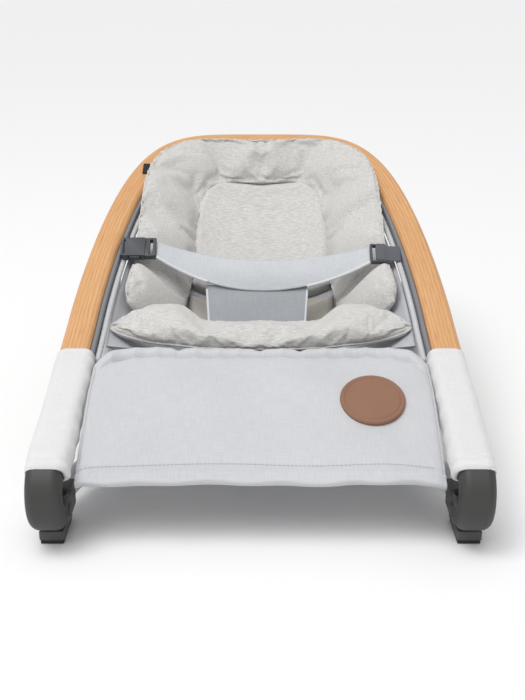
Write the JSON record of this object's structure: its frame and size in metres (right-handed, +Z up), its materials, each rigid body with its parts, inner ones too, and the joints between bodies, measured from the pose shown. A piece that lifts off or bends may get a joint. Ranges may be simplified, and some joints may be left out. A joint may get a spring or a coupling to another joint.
{
  "type": "bouncer seat",
  "caption": "Baby bouncer seat: a bent wood-look arch with a padded reclined sling, lap belt and newborn insert on a folding tube base.",
  "frame": {"origin": "floor level, at the middle of the seat's outline in plan", "axes": "+Z up, +Y from the feet end to the head end, +X to the right of a viewer at the feet end"},
  "size_m": [0.4706, 0.6863, 0.3174],
  "materials": {
    "wood_arch": "satin oak-look grain",
    "elbow_plastic": "matte dark grey",
    "dark_plastic": "matte dark grey",
    "trim_plastic": "matte grey",
    "sole_rubber": "matte",
    "base_tube": "light grey satin powder coat",
    "pin_steel": "satin",
    "woven_fabric": "plain weave light grey",
    "melange_jersey": "melange jersey",
    "seat_mesh": "darker beige grey weave",
    "badge_leather": "smooth brown with debossed ring",
    "buckle_plastic": "satin dark grey",
    "dark_webbing": "ribbed webbing"
  },
  "bodies": {
    "base": {"clevis_left": "dark_plastic", "clevis_right": "dark_plastic", "runner_left": "base_tube", "runner_right": "base_tube", "foot_left": "dark_plastic", "foot_right": "dark_plastic", "sole_left": "sole_rubber", "sole_right": "sole_rubber", "rear_bar": "base_tube", "rear_joint_left": "dark_plastic", "rear_joint_right": "dark_plastic", "rear_pad_left": "sole_rubber", "rear_pad_right": "sole_rubber", "lug_left": "dark_plastic", "lug_right": "dark_plastic", "lug_pin_left": "pin_steel", "lug_pin_right": "pin_steel", "hinge_pin_left": "pin_steel", "hinge_pin_right": "pin_steel"},
    "leg_left": {"leg_left": "base_tube", "slide_pin_left": "pin_steel"},
    "leg_right": {"leg_right": "base_tube", "slide_pin_right": "pin_steel"},
    "tab_front": {"release_tab_front": "buckle_plastic"},
    "tab_back": {"release_tab_back": "buckle_plastic"},
    "seat": {"wood_arch": "wood_arch", "trim_rail": "trim_plastic", "edge_piping": "woven_fabric", "elbow_left": "elbow_plastic", "elbow_right": "elbow_plastic", "slot_bracket_left": "dark_plastic", "slot_bracket_right": "dark_plastic", "knee_tube": "base_tube", "knee_saddle_left": "dark_plastic", "knee_saddle_right": "dark_plastic", "sling": "woven_fabric", "front_panel": "woven_fabric", "sleeve_left": "woven_fabric", "sleeve_right": "woven_fabric", "leather_badge": "badge_leather", "insert_surround": "melange_jersey", "insert_back": "melange_jersey", "seat_pad": "seat_mesh", "seat_cushion": "melange_jersey", "belt": "woven_fabric", "buckle_tongue": "buckle_plastic", "buckle_socket": "buckle_plastic", "strap_left": "dark_webbing", "strap_right": "dark_webbing", "adjuster": "buckle_plastic", "head_strap": "dark_webbing"}
  },
  "joints": [
    {"name": "recline", "type": "hinge", "parent": "base", "child": "seat", "pos_m": [0, -0.2951, 0.034], "axis": [1, 0, 0], "range_deg": [-10, 12]},
    {"name": "leg_left_swing", "type": "hinge", "parent": "base", "child": "leg_left", "pos_m": [-0.2, -0.0201, 0.034], "axis": [1, 0, 0], "range_deg": [-20.5, 24.5]},
    {"name": "leg_right_swing", "type": "hinge", "parent": "base", "child": "leg_right", "pos_m": [0.2, -0.0201, 0.034], "axis": [1, 0, 0], "range_deg": [-20.5, 24.5]},
    {"name": "release_front_press", "type": "slide", "parent": "seat", "child": "tab_front", "axis": [0, 0.829, 0.5592], "range_m": [0, 0.0025], "stiffness_N_per_m": 400},
    {"name": "release_back_press", "type": "slide", "parent": "seat", "child": "tab_back", "axis": [0, -0.829, -0.5592], "range_m": [0, 0.0025], "stiffness_N_per_m": 400}
  ],
  "couplings": [
    {"joint": "leg_left_swing", "follows": "recline", "ratio": 2},
    {"joint": "leg_right_swing", "follows": "recline", "ratio": 2}
  ]
}
